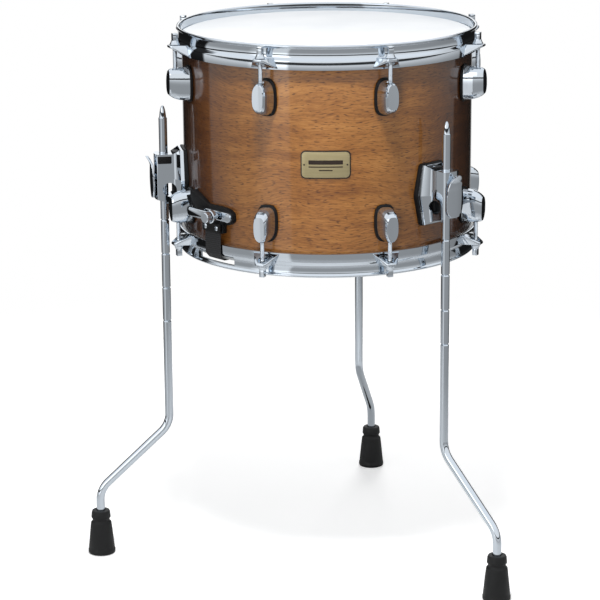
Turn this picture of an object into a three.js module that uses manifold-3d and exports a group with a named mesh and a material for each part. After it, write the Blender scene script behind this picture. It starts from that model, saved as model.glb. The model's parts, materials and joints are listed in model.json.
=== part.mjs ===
// A 14 by 10 inch wooden drum on three telescopic legs, with a snare strainer under it.
// Millimetres, +Z up, the front of the drum towards -Y. The floor is z = 0 and the
// origin is the middle of the footprint.
import * as THREE from "three";
import { mergeVertices } from "three/addons/utils/BufferGeometryUtils.js";
import { ConvexGeometry } from "three/addons/geometries/ConvexGeometry.js";
import Module from "manifold-3d";

const wasm = await Module();
wasm.setup();

// Driving dimensions.
const SHELL_R = 178;          // outside radius of the 14 inch shell
const SHELL_WALL = 6.5;       // seven plies
const SHELL_DEPTH = 254;      // 10 inches
const SHELL_BOTTOM = 404.2;   // height of the lower bearing edge over the floor
const ROUND = 64;             // sides on the large rounds
const GAP = 0.3;              // air between neighbouring pieces
const FILM = 0.5;             // drum head film
const FLESH_R = 182.6;        // outside of the head's flesh hoop
const HOOP_LIP_R = 184;
const HOOP_RISE = 10.7;       // hoop lip above the bearing edge
const EAR_Z = 4.4;            // top of a hoop ear, under the bearing edge
const EAR_THICK = 3;
const ROD_CIRCLE = 196;       // radius of the circle of tension rods
const LUGS = 8;               // lugs to a head
const LUG_HEIGHT = 41.8;
const LUG_CENTRE = 51.7;      // lug centre, measured in from the bearing edge
const LUG_DEPTH = 27.8;
const TURN = -0.6;            // how far the whole drum is turned on its legs
const LEG_CIRCLE = 204;       // radius of the leg rods
const FOOT_CIRCLE = 294;
const LEG_R = 5.2;
const LEG_TOP = 574;
const KNEE_UPPER = 166;       // height of the upper bend
const KNEE_LOWER = 84;        // height of the lower bend
const LEG_END = 22;           // rod end inside the foot
const LEGS = { left: -80, right: 43.4, rear: 168.2 };
const BRACKET_Z = 484;        // middle of a leg bracket
const STRAINER_AT = -47.5;
const BUTT_AT = STRAINER_AT + 180;
const LEVER_Z = 457;          // throw-off pivot height
const PIVOT_Y = 5;            // pivot, measured along the shell from the strap's middle
const STRAP_X = 185.8;        // inner face of the snare strap, outside the shell
const STRAP = 0.7;            // strap thickness
const SNARE_END = 148;        // half the length of the snare wires
const GATE_HALF = 31;         // half the width of a snare gate in the lower hoop
const ROOTED = 172;           // fittings start this far out, then the shell's room is cut away
const BADGE = { half: 29.5, low: 511.8, high: 545.3, corner: 6, thick: 1.2 };
const BOLT_Z = BRACKET_Z + 2; // height of a wing bolt

const SHELL_TOP = SHELL_BOTTOM + SHELL_DEPTH;
const MIDDLE = SHELL_BOTTOM + SHELL_DEPTH / 2;
const SHELL_FACE = SHELL_R + 2 * GAP; // where fittings sit on the shell

const finish = (color, roughness, metalness) =>
  new THREE.MeshStandardMaterial({ color, roughness, metalness });
const wood = finish(0xa86f3c, 0.18, 0);
const chrome = finish(0xd4d9de, 0.08, 1);
const film = finish(0xf1f2ee, 0.6, 0);
const rubber = finish(0x17181a, 0.75, 0);
const strapping = finish(0x1b1c1f, 0.5, 0);
const bronze = finish(0xb99a63, 0.35, 1);
const steelWire = finish(0xb9bcc0, 0.3, 1);

const drum = new THREE.Group();

// Weld a geometry into one skin with its faces pointing out.
function skin(geometry) {
  const bare = geometry.index ? geometry.toNonIndexed() : geometry.clone();
  bare.deleteAttribute("normal");
  bare.deleteAttribute("uv");
  const welded = mergeVertices(bare, 1e-3);
  const index = Array.from(welded.index.array);
  const at = (i) => new THREE.Vector3().fromBufferAttribute(welded.attributes.position, i);
  const kept = [];
  let volume = 0;
  for (let i = 0; i < index.length; i += 3) {
    const [a, b, c] = index.slice(i, i + 3);
    if (a === b || b === c || a === c) continue;
    kept.push(a, b, c);
    volume += at(a).dot(at(b).cross(at(c)));
  }
  welded.setIndex(volume < 0 ? kept.reverse() : kept);
  return welded;
}

function solid(geometry) {
  const closed = skin(geometry);
  return new wasm.Manifold(new wasm.Mesh({
    numProp: 3,
    vertProperties: new Float32Array(closed.attributes.position.array),
    triVerts: new Uint32Array(closed.index.array),
  }));
}

function geometryOf(body) {
  const mesh = body.getMesh();
  const geometry = new THREE.BufferGeometry();
  geometry.setAttribute("position", new THREE.BufferAttribute(mesh.vertProperties, 3));
  geometry.setIndex(new THREE.BufferAttribute(mesh.triVerts, 1));
  return geometry;
}

const join = (...parts) =>
  geometryOf(parts.slice(1).reduce((sum, part) => sum.add(solid(part)), solid(parts[0])));
const cut = (part, ...tools) =>
  geometryOf(tools.reduce((rest, tool) => rest.subtract(solid(tool)), solid(part)));
const common = (a, b) => geometryOf(solid(a).intersect(solid(b)));

// A profile of [radius, height] points turned about Z.
function turned(profile, sides) {
  const points = profile.map(([r, z]) => new THREE.Vector2(r, z));
  return new THREE.LatheGeometry(points, sides).rotateX(Math.PI / 2);
}

const ring = (profile, sides) => turned([...profile, profile[0]], sides);

// Fittings are made facing +X: X runs out from the drum's axis, Y along the shell, Z up.
const OUTWARD = new THREE.Matrix4().makeBasis(
  new THREE.Vector3(0, 1, 0), new THREE.Vector3(0, 0, 1), new THREE.Vector3(1, 0, 0));

// A flat shape drawn in Y and Z, from x0 outwards.
function slab(shape, x0, thickness) {
  const options = { depth: thickness, bevelEnabled: false, curveSegments: 6 };
  return new THREE.ExtrudeGeometry(shape, options).applyMatrix4(OUTWARD).translate(x0, 0, 0);
}

function box([x0, x1], [y0, y1], [z0, z1]) {
  return new THREE.BoxGeometry(x1 - x0, y1 - y0, z1 - z0)
    .translate((x0 + x1) / 2, (y0 + y1) / 2, (z0 + z1) / 2);
}

// A round bar along X.
function pin(radius, x0, x1, z, sides = 12, y = 0) {
  return new THREE.CylinderGeometry(radius, radius, x1 - x0, sides)
    .rotateZ(Math.PI / 2).translate((x0 + x1) / 2, y, z);
}

// An upright round bar.
function post(radius, x, z0, z1, sides) {
  return new THREE.CylinderGeometry(radius, radius, z1 - z0, sides)
    .rotateX(Math.PI / 2).translate(x, 0, (z0 + z1) / 2);
}

function roundedBox(y0, y1, z0, z1, radius) {
  const shape = new THREE.Shape();
  shape.absarc(y1 - radius, z1 - radius, radius, 0, Math.PI / 2);
  shape.absarc(y0 + radius, z1 - radius, radius, Math.PI / 2, Math.PI);
  shape.absarc(y0 + radius, z0 + radius, radius, Math.PI, 1.5 * Math.PI);
  shape.absarc(y1 - radius, z0 + radius, radius, 1.5 * Math.PI, 2 * Math.PI);
  return shape;
}

// The room that the shell takes up, cut out of the back of a fitting.
const shellRoom = () => turned(
  [[0, SHELL_BOTTOM], [SHELL_FACE, SHELL_BOTTOM], [SHELL_FACE, SHELL_TOP], [0, SHELL_TOP]], ROUND);

// Upside down about the middle of the shell, for the lower head's pieces.
const flipped = (geometry) => geometry.clone().scale(1, 1, -1).translate(0, 0, 2 * MIDDLE);

// Adds a mesh, turned about the drum's axis so that its +X faces the azimuth
// (0 is the front, positive to the right), and moved out to a radius if it has one.
function add(name, geometry, material, azimuth = 90, radius = 0) {
  const mesh = new THREE.Mesh(skin(geometry), material);
  mesh.name = name;
  const angle = THREE.MathUtils.degToRad(azimuth - 90);
  mesh.rotation.z = angle;
  mesh.position.set(radius * Math.cos(angle), radius * Math.sin(angle), 0);
  drum.add(mesh);
}

const lugAzimuth = (i) => (i + 0.5) * 360 / LUGS + TURN;

// Shell and vent.
const VENT_AT = -135;
const VENT_R = 6.6;

function shell() {
  const peak = SHELL_R - 1.5;
  const inner = SHELL_R - SHELL_WALL;
  const inset = peak - inner;
  const wall = ring([
    [inner, SHELL_BOTTOM + inset], [peak, SHELL_BOTTOM], [SHELL_R, SHELL_BOTTOM + 1.5],
    [SHELL_R, SHELL_TOP - 1.5], [peak, SHELL_TOP], [inner, SHELL_TOP - inset],
  ], ROUND);
  const vent = pin(VENT_R, SHELL_R - 12, SHELL_R + 4, MIDDLE)
    .rotateZ(THREE.MathUtils.degToRad(VENT_AT - 90));
  return cut(wall, vent);
}

function ventGrommet() {
  const tube = 4.4;
  const back = SHELL_R - SHELL_WALL - 1;
  const profile = [
    [tube, back], [VENT_R - GAP, back], [VENT_R - GAP, SHELL_FACE],
    [9.5, SHELL_FACE], [9, SHELL_FACE + 1.3], [tube, SHELL_FACE + 1.3],
  ];
  return ring(profile, 16).rotateY(Math.PI / 2).translate(0, 0, MIDDLE);
}

// A head: film over the bearing edge, down the outside, into the flesh hoop.
function head() {
  const under = SHELL_TOP + GAP;
  const collar = SHELL_R + 0.4;
  return turned([
    [0, under + FILM], [SHELL_R - 1, under + FILM], [collar + 0.6, SHELL_TOP - 1.2],
    [collar + 0.6, SHELL_TOP - 8.2], [FLESH_R, SHELL_TOP - 8.2], [FLESH_R, SHELL_TOP - 16.2],
    [collar, SHELL_TOP - 16.2], [collar, SHELL_TOP - 1.3], [SHELL_R - 1.2, under], [0, under],
  ], ROUND);
}

// A pressed steel hoop: rolled lip, collar, sloping shoulder and skirt, with an ear at each rod.
function hoop() {
  const inner = 179.9;
  const skirtInner = FLESH_R + 0.5;
  const skirtOuter = skirtInner + 2.3;
  const collarOuter = inner + 2.3;
  const lip = SHELL_TOP + HOOP_RISE;
  const body = ring([
    [inner, SHELL_TOP - 7.6], [skirtInner, SHELL_TOP - 7.6], [skirtInner, SHELL_TOP - 18.2],
    [skirtOuter, SHELL_TOP - 18.2], [skirtOuter, SHELL_TOP - 8], [collarOuter, SHELL_TOP - 3.8],
    [collarOuter, lip - 4.3], [HOOP_LIP_R, lip - 2.5], [HOOP_LIP_R, lip - 0.7],
    [HOOP_LIP_R - 0.7, lip], [inner + 0.7, lip], [inner, lip - 0.7],
  ], ROUND);
  const ears = [];
  for (let i = 0; i < LUGS; i++) {
    const angle = THREE.MathUtils.degToRad(lugAzimuth(i) - 90);
    ears.push(hoopEar().rotateZ(angle));
  }
  return join(body, ...ears);
}

// An ear pressed out of the skirt: level round the rod, with flanks that slope down to the hem.
function hoopEar() {
  const top = SHELL_TOP - EAR_Z;
  const hem = SHELL_TOP - 17.4;
  const reach = 204;
  // distance out, half width, height
  const corners = [
    [183.8, 17.5, hem], [183.6, 13, top - 3.2], [183.6, 12, top], [190, 9.5, top], [reach - 2, 7, top],
    [reach, 5, top], [reach, 5, top - 2.6], [reach - 2, 7.2, top - 3.2], [190, 11.5, top - 6],
  ];
  const points = corners.flatMap(([x, y, z]) => [new THREE.Vector3(x, y, z), new THREE.Vector3(x, -y, z)]);
  const below = hem - 10;
  const hole = post(3.8, ROD_CIRCLE, below, top + 5, 12);
  const hollow = post(5.6, ROD_CIRCLE, below, top - EAR_THICK, 12);
  return cut(new ConvexGeometry(points), hole, hollow);
}

// The lower hoop has a gate cut in its collar at each end of the snares.
function resonantHoop() {
  const gate = (azimuth) =>
    box([174, 192], [-GATE_HALF, GATE_HALF], [SHELL_BOTTOM - 4.7, SHELL_BOTTOM + 4.4])
    .rotateZ(THREE.MathUtils.degToRad(azimuth - 90));
  return cut(flipped(hoop()), gate(STRAINER_AT), gate(BUTT_AT));
}

// A cast lug: an oval base that narrows to a domed face, bored for its rod from the hoop's side.
function lug() {
  const half = LUG_HEIGHT / 2;
  const centre = SHELL_TOP - LUG_CENTRE;
  const sections = [
    // depth, half width, low end, high end
    [0, 11.6, -half, half],
    [3.2, 11.6, -half, half],
    [15, 10.6, 0.6 - half, half - 0.3],
    [24, 9.4, 5.4 - half, half - 1.5],
    [LUG_DEPTH, 7.2, 10.4 - half, half - 4.1],
  ];
  const points = [];
  for (const [depth, width, low, high] of sections) {
    for (let i = 0; i < 12; i++) {
      const angle = (i + 0.5) * Math.PI / 6;
      const across = width * Math.sign(Math.cos(angle)) * Math.abs(Math.cos(angle)) ** 0.65;
      const along = Math.sign(Math.sin(angle)) * Math.abs(Math.sin(angle)) ** 0.65;
      points.push(new THREE.Vector3(depth, across, (low + high) / 2 + along * (high - low) / 2));
    }
  }
  const casting = new ConvexGeometry(points).translate(SHELL_FACE, 0, centre);
  const bore = post(3.2, ROD_CIRCLE, centre - 14, centre + half + 2, 8);
  return cut(casting, bore);
}

// A tension rod with its washer, its flared head and its square drive, about its own axis.
function tensionRod() {
  const seat = SHELL_TOP - EAR_Z + GAP;
  const end = SHELL_TOP - 62;
  const threadR = 2.7;
  const washerR = 6.3;
  const shaft = turned([
    [0, end], [threadR, end], [threadR, seat], [washerR, seat], [washerR, seat + 1],
    [4.6, seat + 4.2], [4.1, seat + 5.4], [0, seat + 5.4],
  ], 10);
  const drive = turned([
    [0, seat + 4], [4.6, seat + 4], [4.6, seat + 13], [3.8, seat + 13.9], [0, seat + 13.9],
  ], 4);
  return join(shaft, drive);
}

// Leg bracket: a six-sided foot on the shell whose two flanks sweep out to a clamp block round the
// leg rod. The space between the flanks is open from end to end, with a round window in each flank.
function legBracket() {
  const outer = { end: 17, middle: 24, rise: 36 };
  const hexagon = new THREE.Shape([
    [-outer.end, outer.rise], [-outer.middle, 0], [-outer.end, -outer.rise],
    [outer.end, -outer.rise], [outer.middle, 0], [outer.end, outer.rise],
  ].map(([y, z]) => new THREE.Vector2(y, BRACKET_Z + z)));
  const plate = cut(slab(hexagon, ROOTED, 12.4), shellRoom());
  const half = 12.5;    // half the width of the clamp block
  const wall = 3;
  const root = 195;     // where the flanks meet the clamp block
  const face = 216;
  const blockTop = 31;
  const blockBottom = -27;
  const flank = (side) => new ConvexGeometry([
    [183, outer.end - 0.5, outer.rise], [183, outer.end - 0.5, -outer.rise], [183, outer.middle - 0.5, 0],
    [183, outer.end - wall, outer.rise], [183, outer.end - wall, -outer.rise],
    [root, half, blockTop], [root, half, blockBottom - 3], [root, half - wall, blockTop],
    [root, half - wall, blockBottom - 3],
  ].map(([x, y, z]) => new THREE.Vector3(x, side * y, BRACKET_Z + z)));
  const outline = new THREE.Shape();
  outline.moveTo(root - 1, -half);
  outline.lineTo(face - 5, -half);
  outline.quadraticCurveTo(face, -9, face, 0);
  outline.quadraticCurveTo(face, 9, face - 5, half);
  outline.lineTo(root - 1, half);
  outline.closePath();
  const options = { depth: blockTop - blockBottom, bevelEnabled: false, curveSegments: 4 };
  const block = new THREE.ExtrudeGeometry(outline, options).translate(0, 0, BRACKET_Z + blockBottom);
  const rodBore = post(LEG_R + 0.5, LEG_CIRCLE, BRACKET_Z - 45, BRACKET_Z + 45, 12);
  const boltBore = pin(3.6, LEG_CIRCLE + 3, face + 4, BOLT_Z, 8);
  const windowR = 8.5;
  const window = new THREE.CylinderGeometry(windowR, windowR, 60, 20).translate(198.5, 0, BRACKET_Z - 13);
  // a shallow pocket in one side of the block, under its top edge
  const pocket = box([root + 0.4, 212.6], [10.2, half + 1.5], [BRACKET_Z + 19.5, BRACKET_Z + 28.5]);
  return cut(join(plate, flank(1), flank(-1), block), rodBore, boltBore, window, pocket);
}

// A wing bolt with a shield-shaped handle, its tip turned outwards for the thumb.
function wingBolt() {
  const hub = pin(6.4, 216.6, 219, 0);
  const shank = pin(3.1, LEG_CIRCLE + LEG_R + 1, 218.4, 0, 8);
  const tip = 26;       // half the handle's length
  const half = 14;      // half its width, below the middle
  const dish = 1.3;
  const flare = 6.5;
  const edge = [
    [6.5, -25.2], [10.5, -22], [13, -16], [half, -8], [13.6, 1], [12.2, 9], [9.6, 16], [6.2, 21.4], [3.6, 24.6],
  ];
  const outline = [[0, -tip], ...edge, [0, tip], ...edge.map(([y, z]) => [-y, z]).reverse()];
  const shape = new THREE.Shape(outline.map(([y, z]) => new THREE.Vector2(y, z)));
  const handle = skin(slab(shape, 217.9, 3));
  const place = handle.attributes.position;
  for (let i = 0; i < place.count; i++) {
    const up = place.getZ(i) / tip;
    place.setX(i, place.getX(i) - dish * up * up + flare * Math.max(0, (up - 0.55) / 0.45) ** 1.4);
  }
  return join(hub, shank, handle).translate(0, 0, BOLT_Z);
}

// A leg rod: bullet tip, long straight with height marks, and a double bend out to the foot.
function legRod() {
  const notch = { depth: 0.9, half: 1.3 };
  const notches = [431, 388, 344.5, 302].flatMap((z) =>
    [[LEG_R, z + notch.half], [LEG_R - notch.depth, z], [LEG_R, z - notch.half]]);
  const straight = turned([
    [0, LEG_TOP], [2.2, LEG_TOP - 2], [4.2, LEG_TOP - 12], [4.2, LEG_TOP - 15],
    [LEG_R, LEG_TOP - 15.5], ...notches, [LEG_R, KNEE_UPPER + 20], [0, KNEE_UPPER + 20],
  ], 10).translate(LEG_CIRCLE, 0, 0);
  const corner = 14;   // distance from a bend's corner to where its arc begins
  const knee = (x, z) => new THREE.Vector3(x, 0, z);
  const upper = knee(LEG_CIRCLE, KNEE_UPPER);
  const lower = knee(FOOT_CIRCLE, KNEE_LOWER);
  const slope = lower.clone().sub(upper).normalize().multiplyScalar(corner);
  const slopeTop = upper.clone().add(slope);
  const slopeEnd = lower.clone().sub(slope);
  const path = new THREE.CurvePath();
  path.add(new THREE.LineCurve3(knee(LEG_CIRCLE, KNEE_UPPER + 21), knee(LEG_CIRCLE, KNEE_UPPER + corner)));
  path.add(new THREE.QuadraticBezierCurve3(knee(LEG_CIRCLE, KNEE_UPPER + corner), upper, slopeTop));
  path.add(new THREE.LineCurve3(slopeTop, slopeEnd));
  path.add(new THREE.QuadraticBezierCurve3(slopeEnd, lower, knee(FOOT_CIRCLE, KNEE_LOWER - corner)));
  path.add(new THREE.LineCurve3(knee(FOOT_CIRCLE, KNEE_LOWER - corner), knee(FOOT_CIRCLE, LEG_END)));
  const section = new THREE.Shape();
  section.absarc(0, 0, LEG_R, 0, 2 * Math.PI);
  const bent = new THREE.ExtrudeGeometry(section, { extrudePath: path, steps: 24, curveSegments: 5 });
  return join(straight, bent);
}

// A tapered rubber foot with a neck, bored from above for the rod.
function rubberFoot() {
  const bore = LEG_R + 0.4;
  return turned([
    [0, 0], [15.8, 0], [17.3, 1.6], [17, 9], [13.2, 40], [11, 43], [11, 46], [12, 47.5],
    [11.6, 55.5], [10.4, 57], [bore, 57], [bore, LEG_END - 0.6], [0, LEG_END - 0.6],
  ], 16);
}

function badge() {
  const outline = slab(roundedBox(-BADGE.half, BADGE.half, BADGE.low, BADGE.high, BADGE.corner), ROOTED, 12);
  const [low, high] = [BADGE.low - 6, BADGE.high + 6];
  const outside = SHELL_FACE + BADGE.thick;
  const band = ring([[SHELL_FACE, low], [outside, low], [outside, high], [SHELL_FACE, high]], ROUND);
  return common(outline, band);
}

// Base of the strainer or of the butt: a bar on the shell with a tongue that backs the strap.
function snareBase(left, right) {
  const face = STRAP_X - 0.4;
  const bar = slab(roundedBox(left, right, LEVER_Z - 6, LEVER_Z + 6, 5.9), ROOTED, face - ROOTED);
  const tongue = box([ROOTED, face], [-16, 16], [LEVER_Z - 21, LEVER_Z - 4]);
  return cut(join(bar, tongue), shellRoom());
}

// The strainer's base also has a thin plate under it that reaches up to the left.
function strainerBase() {
  const outline = [[-47, 24], [-23, 16], [-14, 10.5], [9, 11.5], [24, 10], [31, 5], [31, -5], [25, -9.5],
    [-21, -10], [-35, -3], [-47, 15]];
  const shape = new THREE.Shape(outline.map(([y, z]) => new THREE.Vector2(y, LEVER_Z + z)));
  const plate = cut(slab(shape, ROOTED - 12, 22.2), shellRoom());
  return join(snareBase(-19, 30), plate, pin(3.2, 182, 196.4, LEVER_Z, 12, PIVOT_Y));
}

// The jaw that holds a strap against its base, with the heads of its two screws.
function strapClamp() {
  const inner = STRAP_X + STRAP + 0.4;
  const jaw = slab(roundedBox(-16, 16, LEVER_Z - 20, LEVER_Z - 8.5, 2), inner, 2.6);
  const screw = (y) => pin(3, inner + 1, inner + 3.9, LEVER_Z - 14.2, 10, y);
  return join(jaw, screw(-10), screw(10));
}

// Throw-off lever, lying level to the left of its pivot.
function throwOffLever() {
  const back = 191;
  const arm = slab(roundedBox(PIVOT_Y - 44, PIVOT_Y, -5.4, 5.4, 4.9), back, 3.2);
  const hub = pin(8, back, back + 5, 0, 16, PIVOT_Y);
  return cut(join(arm, hub), pin(3.6, back - 3, back + 8, 0, 12, PIVOT_Y)).translate(0, 0, LEVER_Z);
}

const strainerKnob = () => pin(6.6, 196.8, 204, LEVER_Z, 16, PIVOT_Y);

// A strap from its clamp down through the hoop's gate and in under the head.
function snareStrap() {
  const run = SHELL_BOTTOM - 1.1;
  const outline = [
    [STRAP_X, LEVER_Z - 8], [STRAP_X, run + 8.3], [179.9, run], [SNARE_END + GAP, run],
    [SNARE_END + GAP, run - STRAP], [180.3, run - STRAP], [STRAP_X + STRAP, run + 7.6],
    [STRAP_X + STRAP, LEVER_Z - 8],
  ].map(([x, z]) => new THREE.Vector2(x, z));
  const width = 28;
  return new THREE.ExtrudeGeometry(new THREE.Shape(outline), { depth: width, bevelEnabled: false })
    .rotateX(Math.PI / 2).translate(0, width / 2, 0);
}

// The snare wires as one comb of strands between two end plates.
function snareWires() {
  const strands = 10;
  const width = 40;
  const pitch = width / strands;
  const comb = new THREE.Shape();
  const corners = [[-SNARE_END, -width / 2], [SNARE_END, -width / 2], [SNARE_END, width / 2],
    [-SNARE_END, width / 2]];
  comb.setFromPoints(corners.map(([x, y]) => new THREE.Vector2(x, y)));
  const reach = SNARE_END - 14;
  for (let i = 0; i < strands - 1; i++) {
    const y0 = -width / 2 + (i + 0.7) * pitch;
    const y1 = y0 + 0.6 * pitch;
    const slot = [[-reach, y0], [-reach, y1], [reach, y1], [reach, y0]];
    comb.holes.push(new THREE.Path(slot.map(([x, y]) => new THREE.Vector2(x, y))));
  }
  return new THREE.ExtrudeGeometry(comb, { depth: 1.6, bevelEnabled: false })
    .translate(0, 0, SHELL_BOTTOM - 2.7);
}

add("shell", shell(), wood);
add("vent_grommet", ventGrommet(), chrome, VENT_AT);
add("badge", badge(), bronze, TURN);
add("batter_head", head(), film);
add("resonant_head", flipped(head()), film);
add("batter_hoop", hoop(), chrome);
add("resonant_hoop", resonantHoop(), chrome);
for (let i = 0; i < LUGS; i++) {
  const azimuth = lugAzimuth(i);
  add(`lug_top_${i + 1}`, lug(), chrome, azimuth);
  add(`lug_bottom_${i + 1}`, flipped(lug()), chrome, azimuth);
  add(`tension_rod_top_${i + 1}`, tensionRod(), chrome, azimuth, ROD_CIRCLE);
  add(`tension_rod_bottom_${i + 1}`, flipped(tensionRod()), chrome, azimuth, ROD_CIRCLE);
}
for (const [side, azimuth] of Object.entries(LEGS)) {
  add(`leg_bracket_${side}`, legBracket(), chrome, azimuth);
  add(`wing_bolt_${side}`, wingBolt(), chrome, azimuth);
  add(`leg_rod_${side}`, legRod(), chrome, azimuth);
  add(`rubber_foot_${side}`, rubberFoot(), rubber, azimuth, FOOT_CIRCLE);
}
add("strainer_base", strainerBase(), chrome, STRAINER_AT);
add("strainer_clamp", strapClamp(), chrome, STRAINER_AT);
add("throw_off_lever", throwOffLever(), chrome, STRAINER_AT);
add("strainer_knob", strainerKnob(), chrome, STRAINER_AT);
add("strainer_strap", snareStrap(), strapping, STRAINER_AT);
add("butt_base", snareBase(-24, 24), chrome, BUTT_AT);
add("butt_clamp", strapClamp(), chrome, BUTT_AT);
add("butt_strap", snareStrap(), strapping, BUTT_AT);
add("snare_wires", snareWires(), steelWire, STRAINER_AT);

// The origin is the middle of the footprint, on the floor.
const footprint = new THREE.Box3().setFromObject(drum, true);
const middle = footprint.getCenter(new THREE.Vector3());
drum.position.set(-middle.x, -middle.y, 0);

export default drum;
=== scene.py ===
# A 14 by 10 inch drum on three legs with a snare strainer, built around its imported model.
import json
import math

import bmesh
import bpy
from mathutils import Matrix, Vector


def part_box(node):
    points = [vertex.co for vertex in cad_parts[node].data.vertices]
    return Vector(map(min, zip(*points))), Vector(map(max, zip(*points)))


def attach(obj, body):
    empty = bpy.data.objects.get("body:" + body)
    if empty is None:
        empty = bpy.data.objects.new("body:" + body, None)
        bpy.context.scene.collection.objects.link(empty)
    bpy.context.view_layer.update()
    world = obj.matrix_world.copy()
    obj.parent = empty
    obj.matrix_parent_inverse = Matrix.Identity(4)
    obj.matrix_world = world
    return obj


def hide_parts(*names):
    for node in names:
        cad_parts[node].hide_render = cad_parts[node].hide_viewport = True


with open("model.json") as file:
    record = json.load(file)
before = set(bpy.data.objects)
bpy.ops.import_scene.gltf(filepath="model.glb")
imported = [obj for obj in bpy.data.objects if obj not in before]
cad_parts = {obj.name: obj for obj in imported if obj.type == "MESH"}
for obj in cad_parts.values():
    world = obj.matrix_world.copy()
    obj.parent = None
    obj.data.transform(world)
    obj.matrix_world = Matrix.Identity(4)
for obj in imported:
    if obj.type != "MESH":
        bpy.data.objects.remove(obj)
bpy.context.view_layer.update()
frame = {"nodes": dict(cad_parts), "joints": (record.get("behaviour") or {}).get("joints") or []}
joints = {joint["name"]: joint for joint in frame["joints"]}
print("frame loaded:", len(frame["nodes"]), "nodes")

# places read from the frame, in millimetres
shellLow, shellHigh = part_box("shell")
axis = (shellLow + shellHigh) / 2
axis.z = 0
shellRadius = (shellHigh.y - shellLow.y) * 500
shellTop = shellHigh.z * 1000
shellBottom = shellLow.z * 1000
middle = (shellTop + shellBottom) / 2
gap = 0.3  # air that the frame leaves between neighbours


def azimuthOf(x, y):
    return math.degrees(math.atan2(x, -y))


def boxMiddle(node):
    low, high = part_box(node)
    return (low + high) / 2


rodAzimuths = []
for number in range(1, 9):
    x, y, z = joints[f"turn_top_{number}"]["pos_m"]
    rodAzimuths.append(azimuthOf(x - axis.x, y - axis.y))
rodCircle = 1000 * math.hypot(x - axis.x, y - axis.y)
sides = ("left", "right", "rear")
legAzimuths = {side: azimuthOf(*joints[f"wing_turn_{side}"]["axis"][:2]) for side in sides}
strainerAzimuth = azimuthOf(*joints["throw_off"]["axis"][:2])
pivotSpot = Vector(joints["throw_off"]["pos_m"]) - axis
leverHeight = pivotSpot.z * 1000
along = Vector((math.cos(math.radians(strainerAzimuth)), math.sin(math.radians(strainerAzimuth)), 0))
pivotOffset = pivotSpot.dot(along) * 1000
wingHeight = joints["wing_turn_left"]["pos_m"][2] * 1000
badgeSpot = boxMiddle("badge") - axis
ventSpot = boxMiddle("vent_grommet") - axis


def facing(azimuth):
    # a fitting is modelled in millimetres with X outwards, Y along the shell and Z up
    turn = Matrix.Rotation(math.radians(azimuth - 90), 4, "Z")
    return Matrix.Translation(axis) @ turn @ Matrix.Scale(0.001, 4)


upsideDown = Matrix.Translation((0, 0, 2 * middle)) @ Matrix.Scale(-1, 4, (0, 0, 1))


view = {"distance": 2.9005, "height": 1.0934, "tiltDown": 14.97, "heading": 0.695, "roll": -0.427,
        "lens": 142.8}
camera = bpy.data.objects.new("camera", bpy.data.cameras.new("camera"))
bpy.context.collection.objects.link(camera)
camera.data.lens = view["lens"]
camera.data.sensor_width = 36
camera.matrix_world = (
    Matrix.Translation(axis + Vector((0, -view["distance"], view["height"])))
    @ Matrix.Rotation(math.radians(view["heading"]), 4, "Z")
    @ Matrix.Rotation(math.radians(90 - view["tiltDown"]), 4, "X")
    @ Matrix.Rotation(math.radians(view["roll"]), 4, "Z"))
bpy.context.scene.camera = camera
bpy.context.scene.view_settings.view_transform = "Standard"


def soften(bm, width, segments=2, angle=30, edges=None):
    sharp = [edge for edge in (edges or bm.edges)
             if len(edge.link_faces) == 2 and edge.calc_face_angle(0) > math.radians(angle)]
    bmesh.ops.bevel(bm, geom=sharp, offset=width, segments=segments, profile=0.5,
                    affect="EDGES", material=-1, clamp_overlap=True)
    return bm


def turned(profile, steps=48, closed=False, soft=0, angle=30):
    # radius and height points spun about Z
    bm = bmesh.new()
    verts = [bm.verts.new((r, 0, z)) for r, z in profile]
    ends = verts[1:] + verts[:1] if closed else verts[1:]
    edges = [bm.edges.new(pair) for pair in zip(verts, ends)]
    bmesh.ops.spin(bm, geom=verts + edges, cent=(0, 0, 0), axis=(0, 0, 1), dvec=(0, 0, 0),
                   angle=2 * math.pi, steps=steps, use_merge=True, use_duplicate=False)
    bmesh.ops.remove_doubles(bm, verts=bm.verts, dist=0.001)
    bmesh.ops.recalc_face_normals(bm, faces=bm.faces)
    return soften(bm, soft, angle=angle) if soft else bm


def moved(bm, *matrices):
    for matrix in matrices:
        bmesh.ops.transform(bm, matrix=matrix, verts=bm.verts)
        if matrix.determinant() < 0:
            bmesh.ops.reverse_faces(bm, faces=bm.faces)
    return bm


def shifted(bm, x=0, y=0, z=0):
    return moved(bm, Matrix.Translation((x, y, z)))


def outward(bm):
    return moved(bm, Matrix.Rotation(math.pi / 2, 4, "Y"))  # Z becomes X


def cylinder(radius, low, high, steps=32, soft=0, topRadius=None):
    bm = bmesh.new()
    top = radius if topRadius is None else topRadius
    bmesh.ops.create_cone(bm, cap_ends=True, segments=steps, radius1=radius, radius2=top,
                          depth=high - low, matrix=Matrix.Translation((0, 0, (low + high) / 2)))
    return soften(bm, soft) if soft else bm


def block(x, y, z, soft=0):
    bm = bmesh.new()
    spans = [Vector(span) for span in (x, y, z)]
    centre = Matrix.Translation([(span.x + span.y) / 2 for span in spans])
    size = Matrix.Diagonal([*(span.y - span.x for span in spans), 1])
    bmesh.ops.create_cube(bm, size=1, matrix=centre @ size)
    return soften(bm, soft) if soft else bm


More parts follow.
